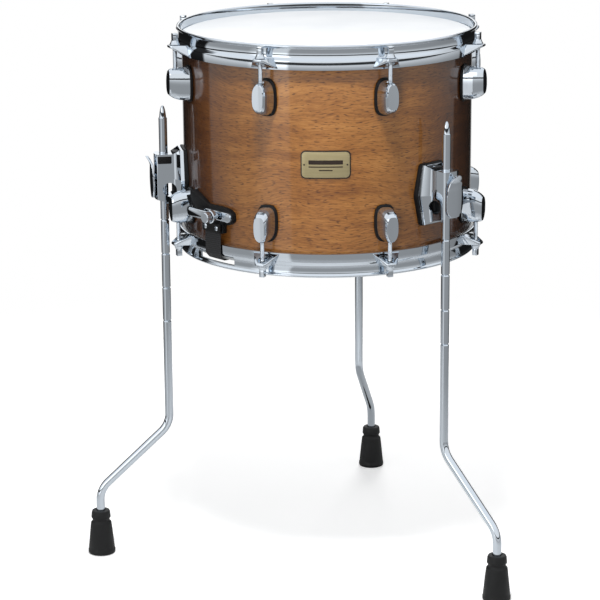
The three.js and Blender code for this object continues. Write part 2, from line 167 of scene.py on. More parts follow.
def plate(outline, low, high, corner=0, soft=0, steps=6):
    # an outline in Y and Z, extruded along X
    bm = bmesh.new()
    bm.faces.new([bm.verts.new((low, y, z)) for y, z in outline])
    if corner:
        bmesh.ops.bevel(bm, geom=bm.verts[:], offset=corner, segments=steps, profile=0.5,
                        affect="VERTICES", material=-1, clamp_overlap=True)
    raised = bmesh.ops.extrude_face_region(bm, geom=bm.faces[:])["geom"]
    verts = [item for item in raised if isinstance(item, bmesh.types.BMVert)]
    bmesh.ops.translate(bm, verts=verts, vec=(high - low, 0, 0))
    bmesh.ops.recalc_face_normals(bm, faces=bm.faces)
    return soften(bm, soft) if soft else bm


def rectangle(y, z):
    return [(y[0], z[0]), (y[1], z[0]), (y[1], z[1]), (y[0], z[1])]


def painted(bm, index):
    for face in bm.faces:
        face.material_index = index
    return bm


def gathered(*parts):
    whole = bmesh.new()
    holder = bpy.data.meshes.new("holder")
    for part in parts:
        part.to_mesh(holder)
        whole.from_mesh(holder)
        part.free()
    bpy.data.meshes.remove(holder)
    return whole


def carved(bm, *cutters, operation="DIFFERENCE"):
    # cutters are taken out of the mesh one after another
    objects = []
    for part in (bm, gathered(*cutters)):
        holder = bpy.data.meshes.new("holder")
        part.to_mesh(holder)
        part.free()
        objects.append(bpy.data.objects.new("holder", holder))
        bpy.context.collection.objects.link(objects[-1])
    target, tool = objects
    boolean = target.modifiers.new("carve", "BOOLEAN")
    boolean.operation = operation
    boolean.solver = "EXACT"
    boolean.use_self = len(cutters) > 1
    boolean.object = tool
    graph = bpy.context.evaluated_depsgraph_get()
    result = bmesh.new()
    result.from_mesh(target.evaluated_get(graph).to_mesh())
    for item in objects:
        holder = item.data
        bpy.data.objects.remove(item)
        bpy.data.meshes.remove(holder)
    bmesh.ops.remove_doubles(result, verts=result.verts, dist=0.002)
    bmesh.ops.dissolve_degenerate(result, edges=result.edges, dist=0.002)
    return result


def piece(name, bm, materials, body, nodes, at, crease=32):
    moved(bm, at)
    for edge in bm.edges:
        edge.smooth = len(edge.link_faces) == 2 and edge.calc_face_angle(0) < math.radians(crease)
    for face in bm.faces:
        face.smooth = True
    mesh = bpy.data.meshes.new(name)
    bm.to_mesh(mesh)
    bm.free()
    for material in materials:
        mesh.materials.append(material)
    made = bpy.data.objects.new(name, mesh)
    bpy.context.collection.objects.link(made)
    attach(made, body)
    if nodes:
        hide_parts(*nodes)
    return made


def linear(code):
    levels = [int(code[i:i + 2], 16) / 255 for i in (1, 3, 5)]
    return [*(c / 12.92 if c <= 0.04045 else ((c + 0.055) / 1.055) ** 2.4 for c in levels), 1]


def addNode(tree, kind, inputs=None, **settings):
    node = tree.nodes.new(kind)
    for key, value in settings.items():
        setattr(node, key, value)
    for key, value in (inputs or {}).items():
        if isinstance(value, bpy.types.NodeSocket):
            tree.links.new(value, node.inputs[key])
        else:
            node.inputs[key].default_value = value
    return node


def newMaterial(name, **settings):
    material = bpy.data.materials.new(name)
    material.use_nodes = True
    tree = material.node_tree
    tree.nodes.clear()
    labels = {"color": "Base Color", "metallic": "Metallic", "roughness": "Roughness", "ior": "IOR",
              "coat": "Coat Weight", "coatRoughness": "Coat Roughness", "specular": "Specular IOR Level",
              "sheen": "Sheen Weight", "anisotropy": "Anisotropic", "subsurface": "Subsurface Weight"}
    values = {labels[key]: value for key, value in settings.items()}
    shader = addNode(tree, "ShaderNodeBsdfPrincipled", values)
    addNode(tree, "ShaderNodeOutputMaterial", {"Surface": shader.outputs["BSDF"]})
    return material, tree, shader


def ramp(tree, factor, stops, easing="LINEAR"):
    node = addNode(tree, "ShaderNodeValToRGB", {"Fac": factor})
    node.color_ramp.interpolation = easing
    while len(node.color_ramp.elements) < len(stops):
        node.color_ramp.elements.new(0.5)
    for element, (position, color) in zip(node.color_ramp.elements, stops):
        element.position = position
        element.color = linear(color) if isinstance(color, str) else (color, color, color, 1)
    return node.outputs["Color"]


def maths(tree, operation, *values):
    return addNode(tree, "ShaderNodeMath", dict(enumerate(values)), operation=operation).outputs[0]


def objectPlace(tree, scale=(1, 1, 1), turn=(0, 0, 0)):
    place = addNode(tree, "ShaderNodeTexCoord").outputs["Object"]
    return addNode(tree, "ShaderNodeMapping",
                   {"Vector": place, "Scale": scale, "Rotation": turn}).outputs["Vector"]


def noise(tree, place, scale, detail=3, roughness=0.5, **more):
    inputs = {"Vector": place, "Scale": scale, "Detail": detail, "Roughness": roughness, **more}
    return addNode(tree, "ShaderNodeTexNoise", inputs).outputs["Fac"]


def bumped(tree, shader, height, distance, strength=1.0, socket="Normal"):
    bump = addNode(tree, "ShaderNodeBump", {"Height": height, "Distance": distance, "Strength": strength})
    tree.links.new(bump.outputs["Normal"], shader.inputs[socket])


def lacqueredVeneer():
    # amber-stained birch veneer under polished polyester: the grain runs round the shell, the gloss
    # is a mirror that sits on top of it
    look = {"dark": "#6e4018", "deep": "#8a5826", "honey": "#a06b33", "light": "#b47e43", "pore": "#4a2810",
            "band": 0.013, "streak": 0.0013}
    material, tree, shader = newMaterial("lacqueredVeneer", roughness=0.42, ior=1.5, coat=1.0,
                                         coatRoughness=0.02)
    place = addNode(tree, "ShaderNodeTexCoord").outputs["Object"]
    centred = addNode(tree, "ShaderNodeVectorMath", {0: place, 1: axis}, operation="SUBTRACT")
    split = addNode(tree, "ShaderNodeSeparateXYZ", {0: centred.outputs[0]})
    angle = maths(tree, "ARCTAN2", split.outputs["X"], maths(tree, "MULTIPLY", split.outputs["Y"], -1.0))
    around = maths(tree, "MULTIPLY", angle, shellRadius / 1000)
    height = split.outputs["Z"]

    def sheet(alongGrain, acrossGrain, across):
        # pattern lengths in metres along and across the grain
        return addNode(tree, "ShaderNodeCombineXYZ", {
            0: maths(tree, "DIVIDE", around, alongGrain), 1: maths(tree, "DIVIDE", across, acrossGrain),
        }).outputs[0]

    sway = noise(tree, sheet(0.16, 0.09, height), 1.0, 2)
    swayed = maths(tree, "ADD", height, maths(tree, "MULTIPLY", sway, 0.05))
    tone = noise(tree, sheet(0.14, look["band"], swayed), 1.0, 4, 0.6)
    streaks = noise(tree, sheet(0.016, look["streak"], swayed), 1.0, 3, 0.65)
    cloud = noise(tree, sheet(0.1, 0.09, height), 1.0, 2)
    mixed = maths(tree, "ADD", maths(tree, "MULTIPLY", tone, 0.36), maths(tree, "MULTIPLY", streaks, 0.42))
    mixed = maths(tree, "ADD", mixed, maths(tree, "MULTIPLY", cloud, 0.22))
    color = ramp(tree, mixed, [(0.38, look["dark"]), (0.46, look["deep"]), (0.53, look["honey"]),
                               (0.63, look["light"])])
    pores = ramp(tree, noise(tree, sheet(0.0085, 0.00125, swayed), 1.0, 1), [(0.58, 0.0), (0.68, 0.9)])
    finished = addNode(tree, "ShaderNodeMix", {"Factor": pores, "A": color, "B": linear(look["pore"])},
                       data_type="RGBA")
    # painted shade: the veneer's colour is multiplied darker as the surface turns away from the view,
    # towards the shell's edges, in place of the light's falloff
    shadeFacing = addNode(tree, "ShaderNodeLayerWeight", {"Blend": 0.5}).outputs["Facing"]
    paintedEdgeShade = ramp(tree, shadeFacing, [(0.0, "#f8f6f4"), (0.1, "#f0eeec"), (0.28, "#dcd8d4"), (0.4, "#b7aa9e"),
                                (0.5, "#918171"), (0.62, "#746657"), (0.85, "#4a4036")])
    veneerWithPaintedShade = addNode(tree, "ShaderNodeMix", {"Factor": 1.0, "A": finished.outputs["Result"], "B": paintedEdgeShade},
                       data_type="RGBA", blend_type="MULTIPLY")
    tree.links.new(veneerWithPaintedShade.outputs["Result"], shader.inputs["Base Color"])
    return material


def polishedChrome():
    # decorative chrome over polished steel or zinc: a mirror with a faint bluish tone
    material, tree, shader = newMaterial("polishedChrome", color=linear("#ccd4dc"), metallic=1.0)
    smudge = noise(tree, objectPlace(tree), 38.0, 3)
    tree.links.new(ramp(tree, smudge, [(0.3, 0.03), (0.8, 0.08)]), shader.inputs["Roughness"])
    return material


def coatedFilm():
    # polyester head with a sprayed white coat: matt, finely gritty
    material, tree, shader = newMaterial("coatedFilm", roughness=0.55, ior=1.5)
    grit = noise(tree, objectPlace(tree), 900.0, 2)
    cloud = noise(tree, objectPlace(tree), 9.0, 3)
    tree.links.new(ramp(tree, cloud, [(0.3, "#e4e7ea"), (0.7, "#f0f2f4")]), shader.inputs["Base Color"])
    bumped(tree, shader, grit, 0.0002, 0.5)
    return material


def hazyFilm():
    # thin uncoated polyester over a dark inside: milky and glossy
    material, tree, shader = newMaterial("hazyFilm", roughness=0.22, ior=1.6)
    cloud = noise(tree, objectPlace(tree), 7.0, 3)
    tree.links.new(ramp(tree, cloud, [(0.3, "#b9bdbf"), (0.7, "#cfd3d5")]), shader.inputs["Base Color"])
    return material


def mouldedRubber():
    # black moulded rubber with a fine spark-eroded grain
    material, tree, shader = newMaterial("mouldedRubber", color=linear("#08090a"), ior=1.5, specular=0.35)
    grain = noise(tree, objectPlace(tree), 1400.0, 2)
    dust = noise(tree, objectPlace(tree), 60.0, 3)
    tree.links.new(ramp(tree, dust, [(0.3, 0.45), (0.75, 0.62)]), shader.inputs["Roughness"])
    bumped(tree, shader, grain, 0.0001, 0.4)
    return material


def gasketPlastic():
    # black injection-moulded polyethylene
    material, tree, shader = newMaterial("gasketPlastic", color=linear("#060607"), ior=1.5, specular=0.3)
    grain = noise(tree, objectPlace(tree), 700.0, 2)
    tree.links.new(ramp(tree, grain, [(0.3, 0.4), (0.7, 0.55)]), shader.inputs["Roughness"])
    return material


def champagnePlate():
    # satin-brushed champagne-coloured plate, brushed along its length
    material, tree, shader = newMaterial("champagnePlate", metallic=0.75, roughness=0.36)
    brush = noise(tree, objectPlace(tree, (30, 30, 5200)), 1.0, 3)
    tree.links.new(ramp(tree, brush, [(0.3, "#a3966f"), (0.7, "#baae8a")]), shader.inputs["Base Color"])
    bumped(tree, shader, brush, 0.00005, 0.2)
    return material


def darkEnamel():
    # baked brown-black enamel in the badge's border
    material, tree, shader = newMaterial("darkEnamel", roughness=0.25, ior=1.5)
    cloud = noise(tree, objectPlace(tree), 120.0, 2)
    tree.links.new(ramp(tree, cloud, [(0.3, "#1d1510"), (0.7, "#2a1f17")]), shader.inputs["Base Color"])
    return material


def wovenStrap():
    # black nylon webbing, 1.2 mm between yarns, drawn a little coarse so that it shows
    material, tree, shader = newMaterial("wovenStrap", roughness=0.6, ior=1.5)
    place = objectPlace(tree)
    warp = addNode(tree, "ShaderNodeTexWave", {"Vector": place, "Scale": 260.0}, bands_direction="DIAGONAL")
    weft = addNode(tree, "ShaderNodeTexWave", {"Vector": place, "Scale": 420.0}, bands_direction="Z")
    weave = maths(tree, "MULTIPLY", warp.outputs["Fac"], weft.outputs["Fac"])
    tree.links.new(ramp(tree, weave, [(0.0, "#0b0b0d"), (1.0, "#2a2b2f")]), shader.inputs["Base Color"])
    bumped(tree, shader, weave, 0.0003, 0.8)
    return material


def drawnWire():
    # bright drawn steel wire, wound into fine coils
    material, tree, shader = newMaterial("drawnWire", color=linear("#b9bcc0"), metallic=1.0)
    scratch = noise(tree, objectPlace(tree), 300.0, 2)
    tree.links.new(ramp(tree, scratch, [(0.3, 0.18), (0.7, 0.34)]), shader.inputs["Roughness"])
    return material


veneer = lacqueredVeneer()
chrome = polishedChrome()
coated = coatedFilm()
hazy = hazyFilm()
rubber = mouldedRubber()
gasket = gasketPlastic()
champagne = champagnePlate()
enamel = darkEnamel()
webbing = wovenStrap()
wire = drawnWire()
print("materials made")


shell = {"wall": 6.5, "edge": 1.5, "steps": 192}


def makeShell():
    outer = shellRadius
    inner = outer - shell["wall"]
    peak = outer - shell["edge"]
    inset = peak - inner
    profile = [(inner, shellBottom + inset), (peak, shellBottom), (outer, shellBottom + shell["edge"]),
               (outer, shellTop - shell["edge"]), (peak, shellTop), (inner, shellTop - inset)]
    wall = turned(profile, shell["steps"], closed=True, soft=0.3)
    hole = outward(cylinder(6.6, outer - 15, outer + 5, 40))
    vent = moved(shifted(hole, z=middle),
                 Matrix.Rotation(math.radians(azimuthOf(ventSpot.x, ventSpot.y) - 90), 4, "Z"))
    piece("woodenShell", carved(wall, vent), [veneer], "root", ["shell"],
          facing(90))


def makeVent():
    inner = shellRadius - shell["wall"]
    profile = [(4.4, inner - 0.9), (6.3, inner - 0.9), (6.3, shellRadius + 0.6), (9.5, shellRadius + 0.6),
               (9.2, shellRadius + 1.7), (7.5, shellRadius + 1.9), (5.2, shellRadius + 1.7),
               (4.4, shellRadius + 0.8)]
    eyelet = outward(turned(profile, 40, closed=True, soft=0.2))
    piece("ventEyelet", shifted(eyelet, z=middle), [chrome], "root",
          ["vent_grommet"], facing(azimuthOf(ventSpot.x, ventSpot.y)))


badge = {"width": 59, "height": 33.5, "corner": 6, "border": 1.5, "thick": 1.2, "pin": 25.2}


def wrapped(bm, radius):
    # bends a flat plate, lying in Y and Z, round the shell
    for vert in bm.verts:
        angle = vert.co.y / radius
        out = vert.co.x
        vert.co.x = (radius + out) * math.cos(angle)
        vert.co.y = (radius + out) * math.sin(angle)
    return bm


def slicedAcross(bm, half, count):
    # evenly spaced cuts, so that a long plate can bend
    for index in range(1, count):
        place = (0, -half + 2 * half * index / count, 0)
        bmesh.ops.bisect_plane(bm, geom=bm.verts[:] + bm.edges[:] + bm.faces[:], plane_co=place,
                               plane_no=(0, 1, 0), dist=0.0001)
    return bm


def makeBadge():
    centre = badgeSpot.z * 1000
    half = badge["width"] / 2
    tall = badge["height"] / 2
    base = shellRadius + 0.6

    def level(inset, low, high, corner, soft):
        outline = rectangle((inset - half, half - inset), (centre - tall + inset, centre + tall - inset))
        return slicedAcross(plate(outline, low, high, corner, soft), half, 16)

    rim = level(0, 0, 0.95, badge["corner"], 0.3)
    field = level(badge["border"], 0.8, badge["thick"], badge["corner"] - 1.2, 0.2)
    parts = [painted(rim, 1), painted(field, 0)]
    for y in (-badge["pin"], badge["pin"]):
        dome = turned([(0, 1.55), (0.7, 1.45), (1.05, 1.2), (1.05, 0.6), (0, 0.6)], 24)
        parts.append(painted(shifted(outward(dome), y=y, z=centre), 1))
    # a generic mark of plain bars: one broad and two thin
    for width, low, high in ((20, 0.4, 5.4), (20, -3.2, -1.9), (8, -7.2, -5.9)):
        bar = plate(rectangle((-width, width), (centre + low, centre + high)), 1.0, 1.3, corner=0.6)
        parts.append(painted(slicedAcross(bar, width, 10), 1))
    piece("badgePlate", wrapped(gathered(*parts), base), [champagne, enamel], "root",
          ["badge"], facing(azimuthOf(badgeSpot.x, badgeSpot.y)))


head = {"film": 0.5, "fleshRadius": 182.6, "steps": 192}


def makeHead(name, node, material, flip):
    under = shellTop + gap
    collar = shellRadius + 0.4
    bead = shellTop - 8.2
    face = under + head["film"]
    profile = [(0, face), (120, face), (shellRadius - 4, face),
               (shellRadius - 1.2, under + 0.4), (collar + 0.35, under - 0.6),
               (collar + 0.6, shellTop - 1.8),
               (collar + 0.6, bead + 0.6), (collar + 1, bead), (head["fleshRadius"] - 0.8, bead),
               (head["fleshRadius"], bead - 0.8), (head["fleshRadius"], bead - 7.2),
               (head["fleshRadius"] - 0.8, bead - 8), (collar, bead - 8), (collar, shellTop - 1.3),
               (shellRadius - 1.2, under), (0, under)]
    bm = turned(profile, head["steps"])
    if flip:
        moved(bm, upsideDown)
    piece(name, bm, [material], "root", [node], facing(90), crease=50)


hoop = {"inner": 179.9, "metal": 2.3, "lip": 184, "rise": 10.7, "skirt": 18.2, "steps": 192,
        "earReach": 204, "earTop": 4.4, "earThick": 3.0, "hole": 3.8, "hollow": 5.6, "gateHalf": 31}


def hoopRing():
    lip = shellTop + hoop["rise"]
    collar = hoop["inner"] + hoop["metal"]
    skirtInner = head["fleshRadius"] + 0.5
    skirtOuter = skirtInner + hoop["metal"]
    hem = shellTop - hoop["skirt"]
    profile = [(hoop["inner"], shellTop - 7.6), (skirtInner, shellTop - 7.6), (skirtInner, hem),
               (skirtInner + 1.1, hem - 0.2), (skirtOuter, hem + 0.3),
               (skirtOuter, shellTop - 8.2), (skirtOuter - 0.5, shellTop - 6.6),
               (collar + 0.6, shellTop - 4.4),
               (collar, shellTop - 3), (collar, lip - 4.6), (collar + 0.4, lip - 3.4),
               (hoop["lip"] - 0.3, lip - 2.7), (hoop["lip"], lip - 1.9), (hoop["lip"] - 0.1, lip - 1),
               (hoop["lip"] - 0.8, lip - 0.2), (hoop["lip"] - 1.8, lip), (hoop["inner"] + 1, lip - 0.1),
               (hoop["inner"] + 0.2, lip - 0.8), (hoop["inner"], lip - 1.8)]
    return turned(profile, hoop["steps"], closed=True)


def hoopEar():
    # a tab pressed out of the skirt: level round the rod, its flanks sloping down to the hem
    top = shellTop - hoop["earTop"]
    hem = shellTop - hoop["skirt"] + 0.8
    reach = hoop["earReach"]
    # distance out, half width, height
    corners = [(183.8, 17.5, hem), (183.6, 13, top - 3.2), (183.6, 12, top), (190, 9.5, top),
               (reach - 2, 7, top), (reach, 5, top), (reach, 5, top - 2.6), (reach - 2, 7.2, top - 3.2),
               (190, 11.5, top - 6)]
    bm = bmesh.new()
    for x, y, z in corners:
        bm.verts.new((x, y, z))
        bm.verts.new((x, -y, z))
    bmesh.ops.convex_hull(bm, input=bm.verts[:])
    bmesh.ops.dissolve_limit(bm, angle_limit=math.radians(2), verts=bm.verts[:], edges=bm.edges[:])
    soften(bm, 0.6, 2)
    hole = shifted(cylinder(hoop["hole"], hem - 20, top + 10, 32), x=rodCircle)
    hollow = shifted(cylinder(hoop["hollow"], hem - 20, top - hoop["earThick"], 32), x=rodCircle)
    return carved(carved(bm, hollow), hole)


def makeHoop(name, node, flip):
    ears = []
    for azimuth in rodAzimuths:
        turn = Matrix.Rotation(math.radians(azimuth - 90), 4, "Z")
        ears.append(moved(hoopEar(), turn))
    ring = hoopRing()
    if flip:
        # gates in the collar let the snare straps in under the head
        cutters = []
        for azimuth in (strainerAzimuth, strainerAzimuth + 180):
            turn = Matrix.Rotation(math.radians(azimuth - 90), 4, "Z")
            opening = rectangle((-hoop["gateHalf"], hoop["gateHalf"]), (shellTop - 4.4, shellTop + 4.7))
            cutters.append(moved(plate(opening, 174, 192, corner=1.5), turn))
        ring = carved(ring, *cutters)
    whole = gathered(ring, *ears)
    if flip:
        moved(whole, upsideDown)
    piece(name, whole, [chrome], "root", [node], facing(90), crease=40)


lug = {"centre": 51.7, "depth": 27.8, "segments": 48, "ridge": 0.5, "dome": 0.0045,
       # depth, half width, far end, hoop's end, all from the lug's own centre
       "sections": [(0.9, 11.3, -20.6, 20.6), (2.4, 11.4, -20.7, 20.7), (3.4, 11.1, -20.5, 20.5),
                    (9, 10.5, -20, 20.4), (15, 9.9, -19, 20.2), (20, 9.2, -17.2, 19.8),
                    (23.6, 8.4, -15.2, 19.2), (25.8, 7.6, -13.4, 18.4), (27.2, 6.7, -11.8, 17.4)]}


def squaredOval(bm):
    # blunt at the far end, arched at the hoop's end
    for vert in bm.verts:
        y, z = vert.co.x, vert.co.y
        power = 0.84 if z > 0 else 0.62
        vert.co = (0, math.copysign(abs(y) ** power, y), math.copysign(abs(z) ** power, z))


def stacked(sections, steps):
    # squared ovals, one over another, closed at both ends
    bm = bmesh.new()
    bmesh.ops.create_circle(bm, cap_ends=True, segments=steps, radius=1)
    squaredOval(bm)
    verts = bm.verts[:]
    face = bm.faces[:][0]
    placed = (0, 1, -1, 1)
    for section in sections:
        if placed != (0, 1, -1, 1):
            geometry = bmesh.ops.extrude_face_region(bm, geom=[face])["geom"]
            verts = [item for item in geometry if isinstance(item, bmesh.types.BMVert)]
            face = next(item for item in geometry if isinstance(item, bmesh.types.BMFace))
        depth, half, low, high = section
        wasHalf, wasLow, wasHigh = placed[1:]
        for vert in verts:
            across = vert.co.y / wasHalf
            along = (vert.co.z - (wasLow + wasHigh) / 2) * 2 / (wasHigh - wasLow)
            vert.co = (depth, across * half, (low + high) / 2 + along * (high - low) / 2)
        placed = section
    bmesh.ops.recalc_face_normals(bm, faces=bm.faces)
    return bm


def lugMesh():
    casting = stacked(lug["sections"], lug["segments"])
    bmesh.ops.bisect_plane(casting, geom=casting.verts[:] + casting.edges[:] + casting.faces[:],
                           plane_co=(0, 0, 0), plane_no=(0, 1, 0), dist=0.0001)
    for vert in casting.verts:     # the outer face rises to a ridge down its middle
        share = max(0, vert.co.x - 18) / (lug["depth"] - 18)
        vert.co.x += 0.6 * share - lug["ridge"] * share * abs(vert.co.y) / 8
        vert.co.x -= lug["dome"] * share * vert.co.z ** 2
    reach = rodCircle - shellRadius - 0.6
    mouth = [(0, 25), (5.6, 25), (4.2, 19.2), (3.3, 17.4), (3.3, -14), (0, -14)]
    casting = carved(casting, shifted(turned(mouth, 32), x=reach))
    nut = turned([(3.05, 18.9), (4.1, 18.9), (4.1, 17), (3.05, 17)], 6, closed=True, soft=0.25)
    skirt = [(0.1, 13.0, -22.4, 22.4), (2.2, 13.0, -22.4, 22.4), (3.0, 11.9, -21.3, 21.3)]
    seal = stacked(skirt, lug["segments"])
    whole = gathered(painted(casting, 0), painted(shifted(nut, x=reach), 0), painted(seal, 1))
    return shifted(whole, x=shellRadius + 0.35, z=shellTop - lug["centre"])


rod = {"radius": 2.7, "root": 2.35, "pitch": 1.4, "end": 62, "washer": 6.3, "drive": 3.25}


def rodMesh():
    seat = shellTop - hoop["earTop"] + gap
    start = shellTop - rod["end"]
    profile = [(0, start), (rod["root"], start)]
    z = start + rod["pitch"] / 2
    while z < seat - 8:      # rolled thread, drawn coarser than the real 0.8 mm so that it shows
        profile += [(rod["radius"], z), (rod["root"], z + rod["pitch"] / 2)]
        z += rod["pitch"]
    profile += [(rod["radius"], z), (rod["radius"], seat), (rod["washer"] - 0.3, seat),
                (rod["washer"], seat + 0.3), (rod["washer"], seat + 0.9), (5.9, seat + 1.3),
                (5.3, seat + 2.4), (4.5, seat + 4.4), (4.1, seat + 5.4), (0, seat + 5.4)]
    shaft = turned(profile, 20)
    half = rod["drive"]
    drive = block((-half, half), (-half, half), (seat + 4, seat + 13.8), soft=0.45)
    return gathered(shaft, drive)


def makeFasteners():
    castLug = lugMesh()
    keyRod = rodMesh()
    for number, azimuth in enumerate(rodAzimuths, 1):
        for level, flip in (("top", []), ("bottom", [upsideDown])):
            casting = moved(castLug.copy(), *flip)
            piece(f"{level}Lug{number}", casting, [chrome, gasket], "root",
                  [f"lug_{level}_{number}"], facing(azimuth), crease=28)
            bolt = moved(keyRod.copy(), Matrix.Translation((rodCircle, 0, 0)), *flip)
            piece(f"{level}Rod{number}", bolt, [chrome], f"tension_rod_{level}_{number}_body",
                  [f"tension_rod_{level}_{number}"], facing(azimuth))
    castLug.free()
    keyRod.free()


bracketLow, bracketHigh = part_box("leg_bracket_left")
bracket = {"middle": (bracketLow.z + bracketHigh.z) * 500, "rodCircle": 204, "bore": 5.7, "wall": 2.6,
           "half": 12.5, "base": 185.5, "root": 195, "face": 216, "top": 31, "bottom": -27,
           # the foot on the shell: half height, then half width at its ends and at its middle
           "rise": 36, "endHalf": 17, "midHalf": 24, "window": 8.5}


def shellRoom(spare=0.35):
    return cylinder(shellRadius + spare, shellBottom, shellTop, 192)


def bracketSide(x, half):
    # half width of the casting: it sweeps in from the base's edge to the clamp block
    share = min(1, max(0, (x - bracket["base"]) / (bracket["root"] - bracket["base"])))
    return bracket["half"] + (half - 1 - bracket["half"]) * (1 - share) ** 2


def bracketBody():
    z = bracket["middle"]
    depths = [bracket["base"] + (bracket["root"] - bracket["base"]) * index / 8 for index in range(9)]
    bm = bmesh.new()
    verts = []
    rise = bracket["rise"]
    for level, half in ((-rise, bracket["endHalf"]), (0, bracket["midHalf"]), (rise, bracket["endHalf"])):
        side = [(172, half), (182.5, half)] + [(x, bracketSide(x, half)) for x in depths]
        side += [(210, bracket["half"]), (213.4, 11), (215.3, 7.6), (bracket["face"], 3)]
        ring = side + [(x, -y) for x, y in reversed(side)]
        if not verts:
            face = bm.faces.new([bm.verts.new((x, y, z + level)) for x, y in ring])
            verts = list(face.verts)
        else:
            geometry = bmesh.ops.extrude_face_region(bm, geom=[face])["geom"]
            face = next(item for item in geometry if isinstance(item, bmesh.types.BMFace))
            verts = list(face.verts)
            for vert in verts:
                nearest = min(range(len(ring)), key=lambda k: abs(last[k][0] - vert.co.x)
                              + abs(last[k][1] - vert.co.y))
                vert.co = (*ring[nearest], z + level)
        last = ring
    bmesh.ops.recalc_face_normals(bm, faces=bm.faces)
    return bm


def sideways(bm):
    # turns an outline drawn in depth and height, extruded along X, to run along Y
    return moved(bm, Matrix(((0, 1, 0, 0), (1, 0, 0, 0), (0, 0, 1, 0), (0, 0, 0, 1))))


def makeBracket(side):
    z = bracket["middle"]
    top = z + bracket["top"]
    bottom = z + bracket["bottom"]
    edge = bracket["rise"] + 0.5
    # what is cut away over and under the clamp block, back to the foot's edges
    above = [(184.4, z + edge), (194, top), (230, top), (230, z + 60), (150, z + 60), (150, z + edge)]
    below = [(184.4, z - edge), (194, bottom - 3.5), (208, bottom), (bracket["face"], bottom + 2),
             (230, bottom + 2), (230, z - 60), (150, z - 60), (150, z - edge)]
    body = carved(bracketBody(), sideways(plate(above, -40, 40)))
    body = carved(body, sideways(plate(below, -40, 40)))
    body = carved(body, shellRoom(1.5))
    # the space between the flanks is open from end to end
    inside = (bracket["half"] - bracket["wall"] - 0.4, 21 - bracket["wall"] - 2.4)
    hollow = plate(rectangle((-inside[0], inside[0]), (z - 44, z + 44)), 184.6, 194.2)
    for vert in hollow.verts:
        share = (194.2 - vert.co.x) / 9.6
        vert.co.y = math.copysign(inside[0] + (inside[1] - inside[0]) * share, vert.co.y)
    body = carved(body, hollow)
    window = moved(cylinder(bracket["window"], -40, 40, 48), Matrix.Rotation(math.pi / 2, 4, "X"))
    cutters = [shifted(cylinder(bracket["bore"], z - 50, z + 50, 40), x=bracket["rodCircle"]),
               shifted(outward(cylinder(3.6, 207, 222, 24)), z=wingHeight),
               shifted(window, x=198.5, z=z - 13),
               # the pocket and the side slot are cut so that black blocks show in them as painted shade and
               # painted dark reflection
               block((195.4, 212.6), (10.2, 14), (z + 19.5, z + 28.5)),
               block((185.4, 189.6), (10, 30), (z + 15, z + 31))]
    for cutter in cutters:
        body = carved(body, cutter)
    end, mid, rise = bracket["endHalf"], bracket["midHalf"], bracket["rise"]
    hexagon = [(-end, z - rise), (end, z - rise), (mid, z), (end, z + rise), (-end, z + rise), (-mid, z)]
    seal = [(y * 1.12, z + (h - z) * 1.04) for y, h in hexagon]
    seal = carved(plate(seal, 172, 181.4, corner=3.5, soft=0.5), shellRoom())
    # black blocks painted in as shade: a pad fills the pocket as painted shade, and a block behind the side
    # slot and the windows shows there as a painted dark reflection
    paintedShadePad = block((195.6, 212.4), (9.9, 11.9), (z + 19.7, z + 28.3), soft=0.3)
    paintedReflectionInsert = block((185, 193.8), (-8.6, 8.6), (z - 29, z + 33), soft=1)
    screws = []
    for height in (z + 29.5, z - 29.5):
        button = outward(turned([(0, 184), (3.6, 184), (3.6, 185.6), (2.8, 186.6), (0, 186.6)], 32))
        socket = outward(cylinder(1.7, 185.4, 188, 6))
        screws.append(shifted(carved(button, socket), z=height))
    whole = gathered(*[painted(part, 0) for part in (body, *screws)],
                     *[painted(part, 1) for part in (seal, paintedShadePad, paintedReflectionInsert)])
    piece(f"{side}Bracket", whole, [chrome, gasket], "root", [f"leg_bracket_{side}"],
          facing(legAzimuths[side]), crease=28)


wing = {"tip": 26, "half": 14, "inner": 217.9, "thick": 2.6, "dish": 1.3, "flare": 6.5}


def makeWing(side):
    shank = outward(cylinder(3.1, 210.2, 218.4, 24))
    hub = outward(turned([(0, 216.6), (6.4, 216.6), (6.4, 219), (0, 219)], 40))
    # a shield: its widest part is below the middle, its tip is turned outwards for the thumb
    right = [(0, -26), (6.5, -25.2), (10.5, -22), (13, -16), (14, -8), (13.6, 1), (12.2, 9), (9.6, 16),
             (6.2, 21.4), (3.6, 24.6), (0, 26)]
    outline = right + [(-y, z) for y, z in reversed(right[1:-1])]
    blade = plate(outline, wing["inner"], wing["inner"] + wing["thick"])
    for height in range(-24, 26, 3):
        bmesh.ops.bisect_plane(blade, geom=blade.verts[:] + blade.edges[:] + blade.faces[:],
                               plane_co=(0, 0, height), plane_no=(0, 0, 1), dist=0.0001)
    for across in (-9, -4.5, 0, 4.5, 9):
        bmesh.ops.bisect_plane(blade, geom=blade.verts[:] + blade.edges[:] + blade.faces[:],
                               plane_co=(0, across, 0), plane_no=(0, 1, 0), dist=0.0001)
    for vert in blade.verts:
        across, up = vert.co.y / wing["half"], vert.co.z / wing["tip"]
        if vert.co.x > wing["inner"] + 1:
            vert.co.x += 1.0 - 2.4 * across * across
        vert.co.x -= wing["dish"] * up * up
        vert.co.x += wing["flare"] * max(0, (up - 0.55) / 0.45) ** 1.4
    soften(blade, 0.4, 2, 50)
    whole = shifted(gathered(hub, shank, blade), z=wingHeight)
    piece(f"{side}WingBolt", whole, [chrome], f"wing_{side}", [f"wing_bolt_{side}"],
          facing(legAzimuths[side]), crease=28)


leg = {"radius": 5.2, "circle": 204, "foot": 294, "top": 574, "kneeUpper": 166, "kneeLower": 84, "end": 22,
       "bend": 31.7, "notches": (431, 388, 344.5, 302), "steps": 40}


